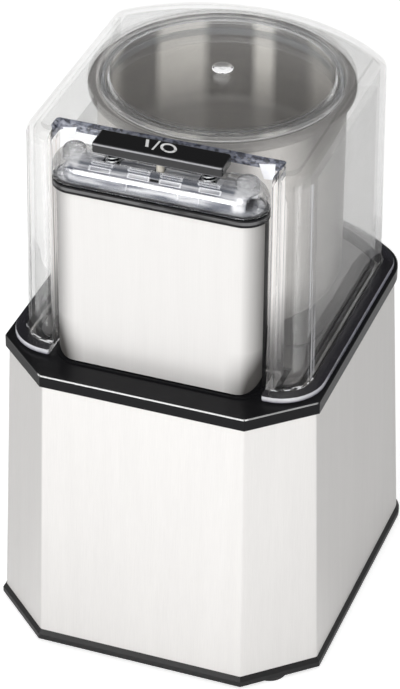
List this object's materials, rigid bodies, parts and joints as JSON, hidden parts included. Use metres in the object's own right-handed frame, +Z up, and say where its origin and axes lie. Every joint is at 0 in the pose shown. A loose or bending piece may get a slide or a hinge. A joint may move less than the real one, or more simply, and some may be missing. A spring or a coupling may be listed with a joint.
{
  "type": "electric spice grinder",
  "caption": "Spice grinder: tapered steel motor housing with cut front corners, lift-out steel bowl with a spinning blade, and a clear lid whose push button works a safety switch column.",
  "frame": {"origin": "centre of the base outline on the worktop, at the underside of the feet", "axes": "+Z up along the motor and bowl axis, -Y towards the button and column at the front, +X to the right seen from the front"},
  "size_m": [0.159, 0.189, 0.2645],
  "materials": {
    "gloss_black": "polished",
    "moulded_black": "satin",
    "soft_rubber": "matt",
    "brushed_skin": "brushed",
    "deck_steel": "satin",
    "clear_plastic": "clear",
    "clear_silicone": "translucent",
    "blade_steel": "ground",
    "shaft_steel": "ground",
    "laminations": "varnished",
    "copper": "enamelled",
    "brass_parts": "plain",
    "carbon": "matt",
    "cast_alloy": "as cast",
    "plated_steel": "zinc plated",
    "engineering_plastic": "moulded",
    "light_plastic": "moulded",
    "spring_steel": "drawn"
  },
  "bodies": {
    "base": {"base_tray": "moulded_black", "foot_front_left": "soft_rubber", "foot_front_right": "soft_rubber", "foot_rear_left": "soft_rubber", "foot_rear_right": "soft_rubber", "housing_shell": "brushed_skin", "cord_gland": "moulded_black", "top_deck": "gloss_black", "deck_plate": "deck_steel", "bowl_seat": "moulded_black", "column_frame": "gloss_black", "column_cover": "brushed_skin", "column_screws": "plated_steel", "switch_bracket": "plated_steel", "bracket_screws": "plated_steel", "micro_switch": "engineering_plastic", "lever_pin": "shaft_steel", "plunger_spring": "spring_steel", "stator_core": "laminations", "field_coils": "copper", "upper_bracket": "cast_alloy", "lower_bracket": "cast_alloy", "upper_bearing": "shaft_steel", "lower_bearing": "shaft_steel", "brush_holders": "brass_parts", "carbon_brushes": "carbon", "motor_mounts": "soft_rubber", "motor_screws": "plated_steel", "stator_bolts": "plated_steel", "tie_screws": "plated_steel"},
    "rotor": {"motor_shaft": "shaft_steel", "armature_core": "laminations", "armature_windings": "copper", "commutator": "copper", "cooling_fan": "engineering_plastic", "motor_coupling": "engineering_plastic"},
    "bowl_body": {"bowl": "brushed_skin", "bowl_base": "moulded_black", "blade_bushing": "brass_parts", "shaft_seal": "soft_rubber"},
    "blade_body": {"blade_shaft": "shaft_steel", "blade_coupling": "engineering_plastic", "blade_washer": "blade_steel", "blade": "blade_steel", "blade_nut": "blade_steel"},
    "lid": {"lid_shell": "clear_plastic", "bowl_plug": "clear_plastic", "plug_seal": "clear_silicone", "button_base": "gloss_black", "button_housing": "clear_plastic", "housing_screws": "plated_steel", "button_springs": "spring_steel"},
    "button": {"push_button": "gloss_black", "button_clips": "plated_steel"},
    "plunger": {"switch_plunger": "engineering_plastic"},
    "lever": {"switch_lever": "brass_parts"},
    "pin": {"switch_pin": "light_plastic"}
  },
  "joints": [
    {"name": "rotor_spin", "type": "hinge", "parent": "base", "child": "rotor", "pos_m": [0, 0.013, 0.07], "axis": [0, 0, 1], "continuous": true},
    {"name": "lid_lift", "type": "slide", "parent": "base", "child": "lid", "axis": [0, 0, 1], "range_m": [0, 0.2]},
    {"name": "bowl_lift", "type": "slide", "parent": "base", "child": "bowl_body", "axis": [0, 0, 1], "range_m": [0, 0.09]},
    {"name": "blade_spin", "type": "hinge", "parent": "bowl_body", "child": "blade_body", "pos_m": [0, 0.013, 0.15], "axis": [0, 0, 1], "continuous": true},
    {"name": "button_press", "type": "slide", "parent": "lid", "child": "button", "axis": [0, 0, -1], "range_m": [0, 0.004], "stiffness_N_per_m": 400, "springref_m": -0.004, "deforming": ["button_springs"]},
    {"name": "plunger_slide", "type": "slide", "parent": "base", "child": "plunger", "axis": [0, 0, -1], "range_m": [0, 0.004], "stiffness_N_per_m": 200, "springref_m": -0.005, "deforming": ["plunger_spring"]},
    {"name": "lever_tilt", "type": "hinge", "parent": "base", "child": "lever", "pos_m": [-0.018, -0.0654, 0.2098], "axis": [0, 1, 0], "range_deg": [0, 12.5]},
    {"name": "pin_slide", "type": "slide", "parent": "base", "child": "pin", "axis": [0, 0, -1], "range_m": [0, 0.0021]}
  ],
  "couplings": [
    {"joint": "blade_spin", "follows": "rotor_spin", "ratio": 1},
    {"joint": "bowl_lift", "follows": "lid_lift", "ratio": 0.45},
    {"joint": "plunger_slide", "follows": "button_press", "ratio": 1},
    {"joint": "lever_tilt", "follows": "button_press", "rad_per_m": 54},
    {"joint": "pin_slide", "follows": "button_press", "ratio": 0.5}
  ]
}
